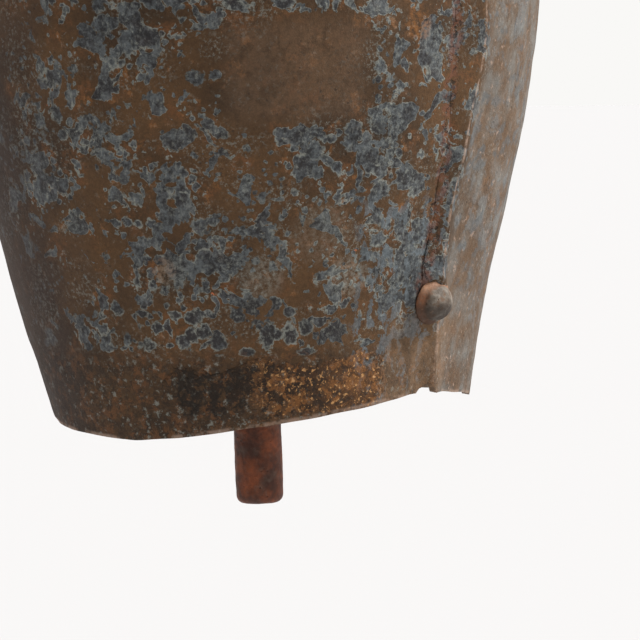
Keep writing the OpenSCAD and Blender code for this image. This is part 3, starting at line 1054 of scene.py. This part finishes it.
class BELL_OT_stage(bpy.types.Operator):
    """Sets the pale floor, the soft light and the camera"""
    bl_idname = "bell.stage"
    bl_label = "Stage"

    # The camera's way round from the front, its rise and its tilt, in degrees
    view_angles = (44, 5.5, 1.9)
    # Its distance in metres, and its aim past the mouth, lens and film in millimetres
    distance = 0.85
    aim = (14.8, 20.9)
    lens, film = 213.5, 36
    clip = (0.05, 100)
    # The room's light in display values, and how it falls towards the dim side
    room = (249, 248, 246)
    dimming = (-0.4, 0.9, 1.0, 0.25)
    dim_side = 0.8
    # The sun's strength, width in degrees, and how far it leans back and up
    sun_strength, sun_width = 3.7, 18
    sun_back, sun_up = 0.04, 0.95
    # The floor's width and how far it lies below the mouth, in metres
    floor_width, floor_drop = 60, 0.6

    def execute(self, context):
        scene = context.scene
        scene.view_settings.view_transform = "Standard"
        azimuth, lift, roll = (math.radians(angle) for angle in self.view_angles)
        back = Vector((math.sin(azimuth) * math.cos(lift),
                       -math.cos(azimuth) * math.cos(lift), math.sin(lift)))
        right = Vector((math.cos(azimuth), math.sin(azimuth), 0))
        up = back.cross(right)

        # A bright room, dimmer on the side that the front of the bell faces
        world = bpy.data.worlds.new("soft_light")
        world.use_nodes = True
        world.node_tree.nodes.clear()
        way = Wire(world.node_tree, None).make("ShaderNodeTexCoord", output=0)
        dim_way = back * self.dim_side - right * self.dim_side
        facing = way.vector("DOT_PRODUCT", dim_way, 1)
        glow = way.make("ShaderNodeBackground", {},
                        {0: linear(*self.room), 1: facing.ramp(*self.dimming)})
        glow.make("ShaderNodeOutputWorld", {}, {0: glow})
        scene.world = world

        bpy.ops.object.select_all(action="DESELECT")
        bpy.ops.mesh.primitive_plane_add(
            size=self.floor_width, location=(0, 0, MOUTH_Z - self.floor_drop))
        floor = bpy.context.active_object
        floor.name = "floor"
        paint = bpy.data.materials.new("floor_paint")
        paint.use_nodes = True
        shader = paint.node_tree.nodes["Principled BSDF"]
        shader.inputs["Base Color"].default_value = tuple(scene.bell_finish.floor) + (1.0,)
        shader.inputs["Roughness"].default_value = 0.9
        shader.inputs["Specular IOR Level"].default_value = 0.0
        floor.data.materials.append(paint)

        bpy.ops.object.light_add(type="SUN", location=(1, 1, 1))
        key = bpy.context.active_object
        key.name = "key_light"
        key.data.energy = self.sun_strength
        key.data.angle = math.radians(self.sun_width)
        toward = right + back * self.sun_back + Vector((0, 0, self.sun_up))
        key.rotation_mode = "QUATERNION"
        key.rotation_quaternion = toward.to_track_quat("Z", "Y")

        mouth = Vector((0, 0, MOUTH_Z))
        aim_right, aim_up = self.aim
        aim = mouth + right * aim_right * MM + up * aim_up * MM
        bpy.ops.object.camera_add()
        camera = bpy.context.active_object
        camera.location = mouth + back * self.distance
        look = (aim - camera.location).to_track_quat("-Z", "Y")
        camera.rotation_mode = "QUATERNION"
        camera.rotation_quaternion = look @ Quaternion((0, 0, 1), -roll)
        camera.data.lens = self.lens
        camera.data.sensor_width = self.film
        camera.data.clip_start, camera.data.clip_end = self.clip
        scene.camera = camera
        return {"FINISHED"}


# ---- Panel ----

SETTINGS = {
    "bell_sheet": BellSheetSettings,
    "bell_rivet": BellRivetSettings,
    "bell_clapper": BellClapperSettings,
    "bell_finish": BellFinishSettings,
}
STEPS = (BELL_OT_sheets, BELL_OT_rivets, BELL_OT_clapper, BELL_OT_hanging, BELL_OT_stage)


class BELL_PT_panel(bpy.types.Panel):
    """Sizes, colours and steps of the bell"""
    bl_idname = "BELL_PT_panel"
    bl_label = "Sheet Iron Bell"
    bl_space_type = "VIEW_3D"
    bl_region_type = "UI"
    bl_category = "Bell"

    def draw(self, context):
        for name, settings in SETTINGS.items():
            box = self.layout.box()
            group = getattr(context.scene, name)
            for key in settings.__annotations__:
                box.prop(group, key)
        for step in STEPS:
            self.layout.operator(step.bl_idname)


def register():
    for item in (*SETTINGS.values(), *STEPS, BELL_PT_panel):
        bpy.utils.register_class(item)
    for name, settings in SETTINGS.items():
        setattr(bpy.types.Scene, name, bpy.props.PointerProperty(type=settings))


def unregister():
    for name in SETTINGS:
        delattr(bpy.types.Scene, name)
    for item in (BELL_PT_panel, *reversed(STEPS), *reversed(SETTINGS.values())):
        bpy.utils.unregister_class(item)


def main():
    register()
    for step in STEPS:
        group, name = step.bl_idname.split(".")
        getattr(getattr(bpy.ops, group), name)()


if __name__ == "__main__":
    main()
